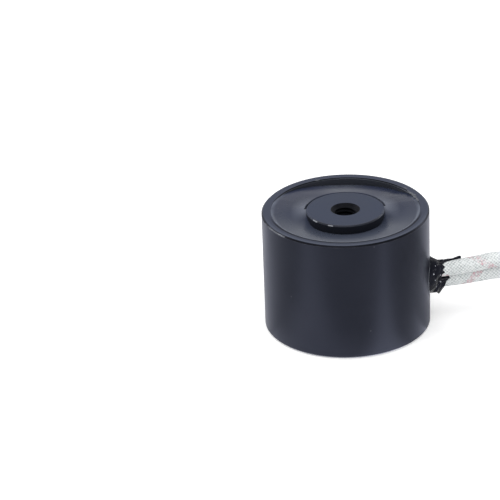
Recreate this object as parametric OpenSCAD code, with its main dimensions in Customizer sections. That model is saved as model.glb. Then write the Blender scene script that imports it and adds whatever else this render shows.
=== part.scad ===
/* [Steel pot] */
// Outside diameter of the pot
pot_d = 50; // [48:0.5:60]
// Height from the back face to the pole faces
pot_h = 37; // [34:0.5:50]
// Thickness of the side wall, which is the outer pole ring
pot_wall = 3; // [2.5:0.1:4]
// Thickness of the closed back
pot_base = 7; // [5:0.5:7]
// Chamfer round the outside of the working face
rim_chamfer = 0.5; // [0.3:0.1:1.2]
// Chamfer round the inside of the rim
rim_inner_chamfer = 0.3; // [0.1:0.1:0.5]
// Chamfer round the back face
back_chamfer = 0.5; // [0.2:0.1:1]

/* [Core] */
// Chamfer round the pole face
pole_chamfer = 0.3; // [0.2:0.1:0.8]
// Width of the pole's shoulder on the closed back, round the spigot
pole_shoulder = 3.2; // [2:0.1:4.5]
// Radial gap left between spigot and back
spigot_gap = 0.02; // [0.01:0.01:0.04]
// Tapping diameter of the M8 thread
tap_d = 6.8; // [6.6:0.1:7]
// Diameter of the countersink at the mouth of the thread
thread_mouth_d = 8.8; // [8.2:0.1:9.5]
// Depth of the full tapping diameter
thread_depth = 14; // [10:0.5:20]

/* [Coil former] */
// Radial gap between former and pole
former_gap = 0.2; // [0.1:0.05:0.3]
// Wall of the former's tube
former_wall = 1; // [0.8:0.1:1.2]
// Thickness of each flange
flange_t = 1.2; // [1:0.1:1.6]
// How far the flanges stand out past the winding
flange_lip = 1; // [0.5:0.1:1.6]
// Width of the wire slots in the upper flange
slot_w = 2; // [1.8:0.1:2.6]

/* [Winding] */
// Radial depth of the copper winding
winding_w = 3.6; // [3:0.1:5.5]
// Thickness of the tape round the winding
tape_t = 0.3; // [0.1:0.05:0.4]
// Diameter of the enamelled wire of the two tails
tail_d = 0.7; // [0.5:0.05:0.9]
// Diameter over the sleeve on each tail
tail_sleeve_d = 1.5; // [1.3:0.1:1.7]
// Radial gap between wires and the sleeves on them
sleeve_gap = 0.05; // [0.02:0.01:0.1]

/* [Joints to the leads] */
// Radial space between the flanges and the pot's wall, where the joints lie
joint_space = 4.5; // [4.3:0.1:6]
// Angle of each soldered joint from the lead exit
joint_angle = 35; // [32:1:45]
// Diameter of a soldered joint
joint_d = 2.2; // [1.8:0.1:2.4]
// Length of a soldered joint
joint_l = 6; // [5:0.5:8]
// Diameter over the sleeve on a joint
joint_sleeve_d = 3.2; // [2.8:0.1:3.4]
// How far the sleeve runs past each end of its joint
joint_sleeve_lap = 2; // [1.5:0.1:2.5]
// Diameter of the stripped strands
strand_d = 1.5; // [1.2:0.1:1.7]

/* [Resin filling] */
// Depth of the resin below the pole faces
recess = 2.4; // [2:0.1:3]
// Resin between the upper flange and the bottom of the recess
resin_cover = 2.6; // [2.2:0.1:3.5]
// Radius where the resin climbs the rim
rim_climb_r = 1.6; // [0.8:0.1:1.9]
// How far below the pole face the resin collar behind the pole stands
collar_below = 0.3; // [0.2:0.1:1]
// Width of that collar
collar_w = 3.8; // [2:0.1:4.5]
// Gap between the collar and the pole
collar_gap = 0.6; // [0.5:0.1:1.2]

/* [Lead exit] */
// Diameter of the hole in the side wall
exit_d = 11.5; // [11.3:0.1:11.7]
// Height of the hole's centre above the back face
exit_z = 14.1; // [13.9:0.1:14.5]
// Chamfer at the mouth of the hole
exit_chamfer = 0.4; // [0.2:0.1:0.6]
// How far the mound of sealant stands out of the hole
mound_h = 2.4; // [1.5:0.1:3.5]
// Diameter of the mound where it ends
mound_d = 8.6; // [8:0.1:10]
// Diameter of the sealant round each lead at the wall
seal_foot_d = 6; // [5.4:0.1:6.2]
// Thickness of the sealant where it ends on the leads
seal_film = 0.3; // [0.15:0.05:0.5]
// How far the sealant reaches along the leads
seal_l = 4.6; // [3.5:0.1:6]
// How far it reaches on along the top of the upper lead
tongue_l = 5; // [3:0.1:6]
// Diameter of the drop that hangs from the sealant
drop_d = 3.2; // [2.6:0.1:4]

/* [Leads] */
// Diameter over the braid of each lead
lead_d = 4.7; // [4.5:0.05:4.75]
// Radius of the outer lead's turns in the coil
coil_r = 26; // [23:0.5:30]
// Gap between the two turns of the coil
turn_gap = 0.3; // [0.3:0.05:1]
// Diameter of the tinned strands at the free ends
end_d = 1.6; // [1.2:0.1:2]
// Length of the tinned strands at the free ends
end_l = 7; // [5:0.5:10]
// Width of the tie round the coil
tie_w = 2.5; // [2:0.1:4]
// Thickness of the tie's strap
tie_t = 0.4; // [0.3:0.05:0.45]
// Width of the tie's head
tie_head_w = 4; // [3:0.1:5]
// Height of the tie's head
tie_head_h = 2.6; // [2:0.1:3.5]

/* [Hidden] */
$fn = 96;
over = 1;
pot_r = pot_d / 2;
bore_r = pot_r - pot_wall;
tap_r = tap_d / 2;
drill_point_share = 0.3;
dish_z = pot_h - recess;

// Radii, from the bore of the pot inwards to the pole and its spigot
flange_r = bore_r - joint_space;
winding_r = flange_r - flange_lip;
tape_r = winding_r + tape_t;
hub_r = winding_r - winding_w;
former_r = hub_r - former_wall;
pole_r = former_r - former_gap;
spigot_r = pole_r - pole_shoulder;

// Heights in the winding space
former_top = dish_z - resin_cover;
wind_bottom = pot_base + flange_t;
wind_top = former_top - flange_t;
wind_h = wind_top - wind_bottom;

// The joints lie along the wall of the pot, each level with its lead
gap_r = (tape_r + bore_r) / 2;
joint_r = joint_d / 2;
joint_sleeve_r = joint_sleeve_d / 2;
joint_sleeve_l = joint_l + 2 * joint_sleeve_lap;
strand_bend = 1.2;

// The tails cross the upper flange inside the resin and drop past the end of their joint
tail_r = tail_d / 2;
tail_bend = 1;
tail_z = former_top + tail_sleeve_d / 2 + sleeve_gap;
tail_reach = joint_sleeve_l / 2 + tail_bend;
tail_angle = joint_angle + atan(tail_reach / gap_r);
inner_tail_r = hub_r + tail_d;
outer_tail_r = winding_r - tail_d;
drop_r = norm([gap_r, tail_reach]);

// Route of each lead from inside the wall to the coil, measured from the outside of the wall
lead_r = lead_d / 2;
lead_heading = [1, 0.2, 0];
lead_a_route = [
    [-4, -1.7, 15.9], [0, -0.9, 15.9], [5, 0.1, 15.9], [10, 1.1, 15.9], [15, 2.1, 15.9],
    [20, 3.1, 15.8], [25, 3.7, 15], [30, 4, 13], [35, 4, 10.1], [40, 4, 7.1],
    [45, 4, 4.6], [50, 4, 3.2], [55, 4, 2.85], [65, 4, 2.85], [75, 4, 2.85]
];
lead_b_route = [
    [-4, 0.1, 11.5], [0, 0.9, 11.5], [5, 1.9, 11.5], [10, 2.9, 11.5], [15, 3.9, 11.5],
    [20, 4.9, 11.4], [25, 6.1, 10.4], [30, 7.2, 8.7], [35, 8, 6.7], [40, 8.5, 4.8],
    [45, 8.7, 3.5], [50, 8.7, 2.95], [55, 8.7, 2.85], [65, 8.7, 2.85], [75, 8.7, 2.85]
];
lead_a_path = [for (p = lead_a_route) p + [pot_r, 0, 0]];
lead_b_path = [for (p = lead_b_route) p + [pot_r, 0, 0]];
coil_entry = lead_b_path[len(lead_b_path) - 1];
coil_centre = [coil_entry[0], coil_entry[1] - coil_r, 0];
coil_z = coil_entry[2] - lead_r;
turn_pitch = lead_d + turn_gap;
inner_coil_r = coil_r - lead_d;
lower_turn = 300;
climb_turn = 15;
lead_a_upper_turn = 255;
lead_b_upper_turn = 165;
tie_angle = 45;
tie_gap = 0.15;

// Helpers for tubes swept along a smooth line
function unit(v) = v / norm(v);
function polar(r, a, z) = [r * cos(a), r * sin(a), z];
function between(p0, p1, p2, p3, t) =
    (2 * p1 + (p2 - p0) * t + (2 * p0 - 5 * p1 + 4 * p2 - p3) * t * t
        + (3 * p1 - p0 - 3 * p2 + p3) * t * t * t) / 2;
function smooth(p, steps) = [
    for (i = [0:len(p) - 2])
        for (k = [0:steps - 1])
            between(p[max(i - 1, 0)], p[i], p[i + 1], p[min(i + 2, len(p) - 1)], k / steps),
    p[len(p) - 1]
];
function heading(line, i, first, last) =
    i == 0 ? unit(first) : i == len(line) - 1 ? unit(last) : unit(line[i + 1] - line[i - 1]);

// A tube of radius r; up is a direction that the line never takes
module tube(points, r, sides, up, steps = 2) {
    line = smooth(points, steps);
    n = len(line);
    first = points[1] - points[0];
    last = points[len(points) - 1] - points[len(points) - 2];
    rings = [
        for (i = [0:n - 1])
            let (t = heading(line, i, first, last), s = unit(cross(t, up)), u = cross(s, t))
                for (k = [0:sides - 1])
                    line[i] + r * (cos(360 * k / sides) * s + sin(360 * k / sides) * u)
    ];
    walls = [
        for (i = [0:n - 2])
            for (k = [0:sides - 1])
                let (a = i * sides + k, b = i * sides + (k + 1) % sides)
                    each [[a, b, b + sides], [a, b + sides, a + sides]]
    ];
    front = [for (k = [sides - 1:-1:0]) k];
    back = [for (k = [0:sides - 1]) (n - 1) * sides + k];
    polyhedron(rings, concat([front], walls, [back]));
}

// A straight round bar along the leads' heading, used for what the leads pass through
module lead_bar(start, r1, r2, length) {
    translate(start)
        rotate([0, 0, atan2(lead_heading[1], lead_heading[0])])
            rotate([0, 90, 0])
                cylinder(r1 = r1, r2 = r2, h = length);
}

// Places its child with its axis along a joint
module at_joint(side, z) {
    rotate([0, 0, side * joint_angle])
        translate([gap_r, 0, z])
            rotate([90, 0, 0])
                children();
}

// A point on a joint's axis, measured away from the lead exit
function joint_point(side, along, z) =
    polar(gap_r, side * joint_angle, z) + side * along * polar(1, side * joint_angle + 90, 0);

module pot() {
    color([0.16, 0.17, 0.21])
        difference() {
            rotate_extrude()
                polygon([
                    [spigot_r + spigot_gap, 0],
                    [pot_r - back_chamfer, 0],
                    [pot_r, back_chamfer],
                    [pot_r, pot_h - rim_chamfer],
                    [pot_r - rim_chamfer, pot_h],
                    [bore_r + rim_inner_chamfer, pot_h],
                    [bore_r, pot_h - rim_inner_chamfer],
                    [bore_r, pot_base],
                    [spigot_r + spigot_gap, pot_base]
                ]);
            translate([bore_r - over, 0, exit_z])
                rotate([0, 90, 0])
                    cylinder(d = exit_d, h = pot_wall + 2 * over);
            translate([pot_r - exit_chamfer, 0, exit_z])
                rotate([0, 90, 0])
                    cylinder(d1 = exit_d, d2 = exit_d + 4 * exit_chamfer, h = 2 * exit_chamfer);
        }
}

module core() {
    color([0.19, 0.2, 0.24])
        difference() {
            rotate_extrude()
                polygon([
                    [0, 0],
                    [spigot_r - back_chamfer, 0],
                    [spigot_r, back_chamfer],
                    [spigot_r, pot_base],
                    [pole_r, pot_base],
                    [pole_r, pot_h - pole_chamfer],
                    [pole_r - pole_chamfer, pot_h],
                    [0, pot_h]
                ]);
            translate([0, 0, pot_h - thread_depth])
                cylinder(r = tap_r, h = thread_depth + over);
            translate([0, 0, pot_h - thread_depth - drill_point_share * tap_d])
                cylinder(r1 = 0, r2 = tap_r, h = drill_point_share * tap_d);
            translate([0, 0, pot_h - (thread_mouth_d - tap_d) / 2])
                cylinder(d1 = tap_d, d2 = thread_mouth_d, h = (thread_mouth_d - tap_d) / 2);
        }
}

module coil_former() {
    color([0.86, 0.84, 0.78])
        difference() {
            rotate_extrude()
                polygon([
                    [former_r, pot_base],
                    [flange_r, pot_base],
                    [flange_r, wind_bottom],
                    [hub_r, wind_bottom],
                    [hub_r, wind_top],
                    [flange_r, wind_top],
                    [flange_r, former_top],
                    [former_r, former_top]
                ]);
            for (side = [1, -1])
                rotate([0, 0, side * tail_angle])
                    translate([hub_r, -slot_w / 2, wind_top - over / 2])
                        cube([flange_r, slot_w, flange_t + over]);
        }
}

module winding() {
    color([0.72, 0.4, 0.2])
        difference() {
            translate([0, 0, wind_bottom])
                cylinder(r = winding_r, h = wind_h);
            translate([0, 0, wind_bottom - over])
                cylinder(r = hub_r, h = wind_h + 2 * over);
        }
}

module winding_tape() {
    color([0.85, 0.7, 0.2])
        difference() {
            translate([0, 0, wind_bottom])
                cylinder(r = tape_r, h = wind_h);
            translate([0, 0, wind_bottom - over])
                cylinder(r = winding_r, h = wind_h + 2 * over);
        }
}

// A tail rises through its slot, crosses the flange, drops to its joint and turns into it
module tail(r, side, z) {
    angle = side * tail_angle;
    color([0.72, 0.4, 0.2])
        tube([
            polar(r, angle, wind_top),
            polar(r, angle, tail_z - tail_bend),
            polar(r + tail_bend / 3, angle, tail_z - tail_bend / 3),
            polar(r + tail_bend, angle, tail_z),
            polar(drop_r - tail_bend, angle, tail_z),
            polar(drop_r - tail_bend / 3, angle, tail_z - tail_bend / 3),
            polar(drop_r, angle, tail_z - tail_bend),
            polar(drop_r, angle, z + tail_bend),
            joint_point(side, tail_reach - tail_bend / 3, z + tail_bend / 3),
            joint_point(side, tail_reach - tail_bend, z),
            joint_point(side, joint_l / 2, z)
        ], tail_r, 8, polar(1, side * (tail_angle - 45), 0), 1);
}

module start_tail() {
    tail(inner_tail_r, 1, lead_b_path[0][2]);
}

module finish_tail() {
    tail(outer_tail_r, -1, lead_a_path[0][2]);
}

module sleeve(r_out, r_in, length) {
    difference() {
        cylinder(r = r_out, h = length);
        translate([0, 0, -over])
            cylinder(r = r_in, h = length + 2 * over);
    }
}

// The start tail is sleeved where it crosses the winding
module start_tail_sleeve() {
    color([0.9, 0.88, 0.8])
        rotate([0, 0, tail_angle])
            translate([inner_tail_r + tail_bend, 0, tail_z])
                rotate([0, 90, 0])
                    sleeve(tail_sleeve_d / 2, tail_r + sleeve_gap, drop_r - inner_tail_r - 2 * tail_bend);
}

// The finish tail is sleeved where it drops beside the winding
module finish_tail_sleeve() {
    sleeve_bottom = lead_a_path[0][2] + tail_bend;
    color([0.9, 0.88, 0.8])
        translate(polar(drop_r, -tail_angle, sleeve_bottom))
            sleeve(tail_sleeve_d / 2, tail_r + sleeve_gap, tail_z - tail_bend - sleeve_bottom);
}

module joint(side, z) {
    color([0.75, 0.76, 0.78])
        at_joint(side, z)
            cylinder(r = joint_r, h = joint_l, center = true);
}

module joint_a() {
    joint(-1, lead_a_path[0][2]);
}

module joint_b() {
    joint(1, lead_b_path[0][2]);
}

module joint_sleeve(side, z) {
    color([0.1, 0.1, 0.11])
        at_joint(side, z)
            translate([0, 0, -joint_sleeve_l / 2])
                sleeve(joint_sleeve_r, joint_r + sleeve_gap, joint_sleeve_l);
}

module joint_sleeve_a() {
    joint_sleeve(-1, lead_a_path[0][2]);
}

module joint_sleeve_b() {
    joint_sleeve(1, lead_b_path[0][2]);
}

// Stripped strands leave the end of a lead, turn round the winding and run into their joint
module strands(start, side) {
    z = start[2];
    inwards = -unit(lead_heading);
    corner = start + (norm([start[0], start[1]]) - gap_r) * inwards;
    along = [0, side * strand_bend, 0];
    color([0.75, 0.76, 0.78])
        tube([
            start,
            corner - strand_bend * inwards,
            corner - strand_bend / 3 * inwards + along / 3,
            corner + along,
            polar(gap_r, side * joint_angle / 3, z),
            joint_point(side, -joint_sleeve_l / 2, z),
            joint_point(side, -joint_l / 2, z)
        ], strand_d / 2, 8, [0, 0, 1], 1);
}

module strands_a() {
    strands(lead_a_path[0], -1);
}

module strands_b() {
    strands(lead_b_path[0], 1);
}

// Space in the resin for the joints, strands and tails that it surrounds
module resin_pockets() {
    pocket_r = gap_r - joint_sleeve_r - sleeve_gap;
    pocket_angle = tail_angle + atan(tail_sleeve_d / gap_r);
    rotate([0, 0, -pocket_angle])
        rotate_extrude(angle = 2 * pocket_angle)
            translate([pocket_r, exit_z - exit_d / 2])
                square([bore_r - pocket_r + over, exit_d]);
    for (side = [1, -1])
        rotate([0, 0, side * tail_angle]) {
            translate([drop_r, 0, exit_z])
                cylinder(d = tail_sleeve_d + 2 * sleeve_gap, h = tail_z - exit_z);
            start = side > 0 ? inner_tail_r : outer_tail_r;
            translate([start - tail_sleeve_d / 2, -slot_w / 2, former_top - over / 2])
                cube([drop_r - start + tail_sleeve_d, slot_w, tail_z - former_top + slot_w / 2 + over / 2]);
        }
}

module resin_filling() {
    climb_z = dish_z + rim_climb_r;
    collar_in = pole_r + collar_gap;
    collar_h = recess - collar_below;
    collar_curve = (collar_w * collar_w + collar_h * collar_h) / (2 * collar_h);
    color([0.2, 0.21, 0.24]) {
        difference() {
            rotate_extrude()
                union() {
                    polygon([
                        [pole_r, former_top],
                        [flange_r, former_top],
                        [flange_r, wind_top],
                        [tape_r, wind_top],
                        [tape_r, wind_bottom],
                        [flange_r, wind_bottom],
                        [flange_r, pot_base],
                        [bore_r, pot_base],
                        [bore_r, dish_z],
                        [pole_r, dish_z]
                    ]);
                    difference() {
                        translate([bore_r - rim_climb_r, dish_z])
                            square([rim_climb_r, rim_climb_r]);
                        translate([bore_r - rim_climb_r, climb_z])
                            circle(r = rim_climb_r);
                    }
                }
            resin_pockets();
        }
        rotate_extrude(angle = 180)
            difference() {
                translate([collar_in, dish_z])
                    square([collar_w, collar_h]);
                translate([collar_in + collar_w, dish_z + collar_curve])
                    circle(r = collar_curve);
            }
    }
}

// Fills the hole, mounds out of it, clings to both leads and hangs in a drop below them
module exit_sealant() {
    lead_a_exit = lead_a_path[1];
    lead_b_exit = lead_b_path[1];
    plug_l = pot_wall - exit_chamfer;
    film_r = lead_r + seal_film;
    back = pot_wall + over;
    color([0.07, 0.07, 0.08])
        difference() {
            union() {
                translate([bore_r, 0, exit_z])
                    rotate([0, 90, 0])
                        cylinder(d = exit_d, h = plug_l);
                translate([bore_r + plug_l, 0, exit_z])
                    rotate([0, 90, 0])
                        cylinder(d1 = exit_d, d2 = mound_d, h = mound_h);
                lead_bar(lead_a_exit, seal_foot_d / 2, film_r, seal_l);
                lead_bar(lead_b_exit, seal_foot_d / 2, film_r, seal_l);
                intersection() {
                    lead_bar(lead_a_exit, film_r, film_r, seal_l + tongue_l);
                    translate([pot_r + seal_l / 2, lead_a_exit[1] - lead_r / 2, lead_a_exit[2] + lead_r / 2])
                        cube([seal_l / 2 + tongue_l, lead_d, lead_d]);
                }
                translate([pot_r + seal_l / 2, 0, lead_b_exit[2] - lead_r])
                    sphere(d = drop_d);
            }
            for (start = [lead_a_exit, lead_b_exit])
                lead_bar(start - back * lead_heading, lead_r + sleeve_gap, lead_r + sleeve_gap,
                    back + 2 * seal_l + tongue_l);
        }
}

module lead_a() {
    color([0.9, 0.91, 0.89])
        tube(lead_a_path, lead_r, 10, [0, 1, 0]);
}

module lead_b() {
    color([0.9, 0.91, 0.89])
        tube(lead_b_path, lead_r, 10, [0, 1, 0]);
}

// A sector of the ring, with room to cut past it
module ring_cut(r, from, sweep, z, h) {
    translate([0, 0, z])
        rotate([0, 0, from])
            rotate_extrude(angle = sweep)
                translate([r - lead_d, 0])
                    square([2 * lead_d, h]);
}

// A turn on the floor, open where the lead comes in, and the last turn on top of it
module lead_coil(r, upper_turn) {
    climb_end = 90 - lower_turn + climb_turn;
    color([0.9, 0.91, 0.89])
        translate(coil_centre)
            difference() {
                translate([0, 0, coil_z])
                    rotate([0, 0, tie_angle])
                        rotate_extrude()
                            translate([r - lead_r, 0])
                                square([lead_d, turn_pitch + lead_d]);
                ring_cut(r, 90, 360 - lower_turn, coil_z - over, turn_pitch + over);
                ring_cut(r, climb_end, 360 - upper_turn, coil_z + turn_pitch, lead_d + over);
            }
}

module lead_a_coil() {
    lead_coil(inner_coil_r, lead_a_upper_turn);
}

module lead_b_coil() {
    lead_coil(coil_r, lead_b_upper_turn);
}

// Tinned strands that stand out of the last turn
module lead_end(r, upper_turn) {
    end_angle = 90 - lower_turn + climb_turn - upper_turn;
    color([0.78, 0.79, 0.8])
        translate(coil_centre + [0, 0, coil_z + turn_pitch + lead_r])
            rotate([0, 0, end_angle])
                translate([r, 0, 0])
                    rotate([90, 0, 0])
                        cylinder(d = end_d, h = end_l);
}

module lead_a_end() {
    lead_end(inner_coil_r, lead_a_upper_turn);
}

module lead_b_end() {
    lead_end(coil_r, lead_b_upper_turn);
}

module lead_tie() {
    loop_w = 2 * lead_d + 2 * tie_gap;
    loop_h = coil_z - tie_t + turn_pitch + lead_d + tie_gap;
    loop_r = inner_coil_r - lead_r - tie_gap;
    color([0.12, 0.12, 0.13])
        translate(coil_centre)
            rotate([0, 0, tie_angle])
                translate([loop_r, 0, 0]) {
                    difference() {
                        translate([-tie_t, -tie_w / 2, 0])
                            cube([loop_w + 2 * tie_t, tie_w, loop_h + 2 * tie_t]);
                        translate([0, -tie_w / 2 - over, tie_t])
                            cube([loop_w, tie_w + 2 * over, loop_h]);
                    }
                    translate([loop_w / 2 - tie_head_w / 2, -tie_head_w / 2, loop_h + 2 * tie_t])
                        cube([tie_head_w, tie_head_w, tie_head_h]);
                }
}

pot();
core();
coil_former();
winding();
winding_tape();
start_tail();
finish_tail();
start_tail_sleeve();
finish_tail_sleeve();
joint_a();
joint_b();
joint_sleeve_a();
joint_sleeve_b();
strands_a();
strands_b();
resin_filling();
exit_sealant();
lead_a();
lead_b();
lead_a_coil();
lead_b_coil();
lead_a_end();
lead_b_end();
lead_tie();
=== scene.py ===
import math

import bmesh
import bpy
from mathutils import Matrix, Vector, noise


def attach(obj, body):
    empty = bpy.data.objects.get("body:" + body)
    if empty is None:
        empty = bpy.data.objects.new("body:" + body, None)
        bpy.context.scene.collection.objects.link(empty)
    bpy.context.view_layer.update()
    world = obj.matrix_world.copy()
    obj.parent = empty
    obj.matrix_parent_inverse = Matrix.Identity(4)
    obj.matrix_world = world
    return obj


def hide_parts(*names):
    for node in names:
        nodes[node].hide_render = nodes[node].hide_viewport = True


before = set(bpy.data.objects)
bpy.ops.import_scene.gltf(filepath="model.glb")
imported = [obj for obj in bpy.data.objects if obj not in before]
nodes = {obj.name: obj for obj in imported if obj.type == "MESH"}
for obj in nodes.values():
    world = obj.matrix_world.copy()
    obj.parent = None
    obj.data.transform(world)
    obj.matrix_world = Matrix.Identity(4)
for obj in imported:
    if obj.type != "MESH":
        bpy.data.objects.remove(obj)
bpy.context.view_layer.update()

mm = 0.001
scene = bpy.context.scene


# ---------- small helpers ----------

def deselectAll():
    if bpy.context.mode != "OBJECT":
        bpy.ops.object.mode_set(mode="OBJECT")
    bpy.ops.object.select_all(action="DESELECT")


def activate(piece):
    deselectAll()
    piece.select_set(True)
    bpy.context.view_layer.objects.active = piece


def settle(piece):
    # the finished piece sits at the origin, with its place in its mesh
    activate(piece)
    bpy.ops.object.transform_apply(location=True, rotation=True, scale=True)


def smoothPiece(piece, angle=50):
    activate(piece)
    bpy.ops.object.shade_smooth_by_angle(angle=math.radians(angle))


def outwardFaces(piece):
    activate(piece)
    bpy.ops.object.mode_set(mode="EDIT")
    bpy.ops.mesh.select_all(action="SELECT")
    bpy.ops.mesh.remove_doubles(threshold=0.000001)
    bpy.ops.mesh.normals_make_consistent(inside=False)
    bpy.ops.object.mode_set(mode="OBJECT")


def applyModifiers(piece):
    activate(piece)
    for modifier in list(piece.modifiers):
        bpy.ops.object.modifier_apply(modifier=modifier.name)


def smoothStep(low, high, value):
    t = min(1.0, max(0.0, (value - low) / (high - low)))
    return t * t * (3 - 2 * t)


def turnedRings(name, rings, segments):
    # a circle, extruded and resized ring by ring; rings are (radius, height) in millimetres
    deselectAll()
    radius, height = rings[0]
    bpy.ops.mesh.primitive_circle_add(vertices=segments, radius=radius * mm, location=(0, 0, height * mm))
    piece = bpy.context.object
    piece.name = name
    piece.data.name = name
    bpy.ops.object.transform_apply(location=True, rotation=True, scale=True)
    bpy.ops.object.mode_set(mode="EDIT")
    bpy.ops.mesh.select_all(action="SELECT")
    for nextRadius, nextHeight in rings[1:]:
        bpy.ops.mesh.extrude_region_move(TRANSFORM_OT_translate={"value": (0, 0, (nextHeight - height) * mm)})
        if nextRadius != radius:
            share = nextRadius / radius
            bpy.ops.transform.resize(value=(share, share, 1), center_override=(0, 0, 0))
        radius, height = nextRadius, nextHeight
    bpy.ops.object.mode_set(mode="OBJECT")
    return piece


def moveVertices(piece, place):
    for vertex in piece.data.vertices:
        vertex.co = place(vertex.co)
    piece.data.update()


# ---------- camera ----------

camera = {
    "elevation": 26.444,
    "roll": -2.252,
    "lens": 191.94,
    "distance": 801,
    "aim": (-28.8, 2.451, 23.429),
}


def addCamera():
    elevation = math.radians(camera["elevation"])
    roll = math.radians(camera["roll"])
    forward = Vector((0, math.cos(elevation), -math.sin(elevation)))
    level = Vector((1, 0, 0))
    upright = level.cross(forward)
    right = level * math.cos(roll) + upright * math.sin(roll)
    up = upright * math.cos(roll) - level * math.sin(roll)
    data = bpy.data.cameras.new("productCamera")
    data.lens = camera["lens"]
    data.sensor_width = 36
    data.clip_start = 0.01
    eye = bpy.data.objects.new("productCamera", data)
    scene.collection.objects.link(eye)
    place = Vector(camera["aim"]) * mm - forward * camera["distance"] * mm
    turn = Matrix((right, up, -forward)).transposed().to_4x4()
    eye.matrix_world = Matrix.Translation(place) @ turn
    scene.camera = eye


addCamera()
print("camera placed")


# ---------- leads ----------

leads = {
    "diameter": 4.7,
    "wall": 25,
    "sides": 40,
    "step": 0.9,
    "coilTop": 7.85,
    "climbFrom": 235,
    "climbTo": 300,
    "frontRoute": [
        (-4, -1.7, 15.9), (0, -0.9, 15.9), (5, 0.1, 15.9), (10, 1.15, 15.95), (15, 2.3, 16.2),
        (20, 3.6, 16.45), (25, 4.4, 15.9), (30, 4.6, 14.1), (35, 4.5, 11.1), (40, 4.3, 7.9),
        (45, 4.1, 5), (50, 4, 3.3), (55, 4, 2.85), (65, 4, 2.85), (75, 4, 2.85),
    ],
    "rearRoute": [
        (-4, 0.1, 11.5), (0, 0.9, 11.5), (5, 1.9, 11.5), (10, 2.9, 11.5), (15, 3.95, 11.65),
        (20, 5.1, 11.75), (25, 6.4, 11), (30, 7.5, 9.3), (35, 8.2, 7.1), (40, 8.6, 5),
        (45, 8.7, 3.5), (50, 8.7, 2.95), (55, 8.7, 2.85), (65, 8.7, 2.85), (75, 8.7, 2.85),
    ],
    "coilCentre": (100, -17.3),
    "frontCoilRadius": 21.3,
    "rearCoilRadius": 26,
    "frontSweep": 540,
    "rearSweep": 450,
}


def splinePoint(a, b, c, d, t):
    return (2 * b + (c - a) * t + (2 * a - 5 * b + 4 * c - d) * t * t + (3 * b - a - 3 * c + d) * t ** 3) / 2


def leadLine(route, coilRadius, sweep):
    points = [Vector((x + leads["wall"], y, z)) for x, y, z in route]
    line = []
    for i in range(len(points) - 1):
        around = [points[max(i - 1, 0)], points[i], points[i + 1], points[min(i + 2, len(points) - 1)]]
        count = max(2, round((points[i + 1] - points[i]).length / leads["step"]))
        line += [splinePoint(*around, k / count) for k in range(count)]
    floorHeight = points[-1].z
    count = round(math.radians(sweep) * coilRadius / leads["step"])
    for k in range(count + 1):
        swept = sweep * k / count
        angle = math.radians(90 - swept)
        lift = smoothStep(leads["climbFrom"], leads["climbTo"], swept)
        height = floorHeight + (leads["coilTop"] - floorHeight) * lift
        line.append(Vector((
            leads["coilCentre"][0] + coilRadius * math.cos(angle),
            leads["coilCentre"][1] + coilRadius * math.sin(angle),
            height,
        )))
    return [point * mm for point in line]


def lineLength(line):
    return sum((b - a).length for a, b in zip(line, line[1:]))


def lineFrames(line):
    # a side and an up direction at each point, carried along so that the braid doesn't twist
    frames = []
    side = None
    for i in range(len(line)):
        ahead = (line[min(i + 1, len(line) - 1)] - line[max(i - 1, 0)]).normalized()
        if side is None:
            side = ahead.cross(Vector((0, 0, 1))).normalized()
        side = (side - ahead * side.dot(ahead)).normalized()
        frames.append((side, side.cross(ahead).normalized(), ahead))
    return frames


def sweptTube(name, line, radius, sides, hand):
    # a closed tube along a line; its map holds the angle, by hand, and the distance along it in millimetres
    vertices = []
    for point, (side, up, ahead) in zip(line, lineFrames(line)):
        for k in range(sides):
            angle = 2 * math.pi * k / sides
            vertices.append(point + (side * math.cos(angle) + up * math.sin(angle)) * radius)
    faces = []
    for i in range(len(line) - 1):
        for k in range(sides):
            a = i * sides + k
            b = i * sides + (k + 1) % sides
            faces.append((a, b, b + sides, a + sides))
    faces.append(tuple(range(sides - 1, -1, -1)))
    faces.append(tuple(range((len(line) - 1) * sides, len(line) * sides)))
    mesh = bpy.data.meshes.new(name)
    mesh.from_pydata(vertices, [], faces)
    distances = [0.0]
    for a, b in zip(line, line[1:]):
        distances.append(distances[-1] + (b - a).length / mm)
    layer = mesh.uv_layers.new(name="alongLead")
    for i in range(len(line) - 1):
        for k in range(sides):
            loop = 4 * (i * sides + k)
            for offset, (row, column) in enumerate(((i, k), (i, k + 1), (i + 1, k + 1), (i + 1, k))):
                layer.data[loop + offset].uv = (hand * column / sides, distances[row])
    piece = bpy.data.objects.new(name, mesh)
    scene.collection.objects.link(piece)
    outwardFaces(piece)
    smoothPiece(piece, 60)
    return piece


frontLine = leadLine(leads["frontRoute"], leads["frontCoilRadius"], leads["frontSweep"])
rearLine = leadLine(leads["rearRoute"], leads["rearCoilRadius"], leads["rearSweep"])
frontLead = sweptTube("frontLead", frontLine, leads["diameter"] / 2 * mm, leads["sides"], 1)
rearLead = sweptTube("rearLead", rearLine, leads["diameter"] / 2 * mm, leads["sides"], -1)
print("leads laid", round(lineLength(frontLine), 4), round(lineLength(rearLine), 4))


# ---------- tinned ends ----------

tinnedEnd = {"radius": 0.8, "length": 7, "strands": 7, "lay": 9, "groove": 0.1, "tip": 0.5}


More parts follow.
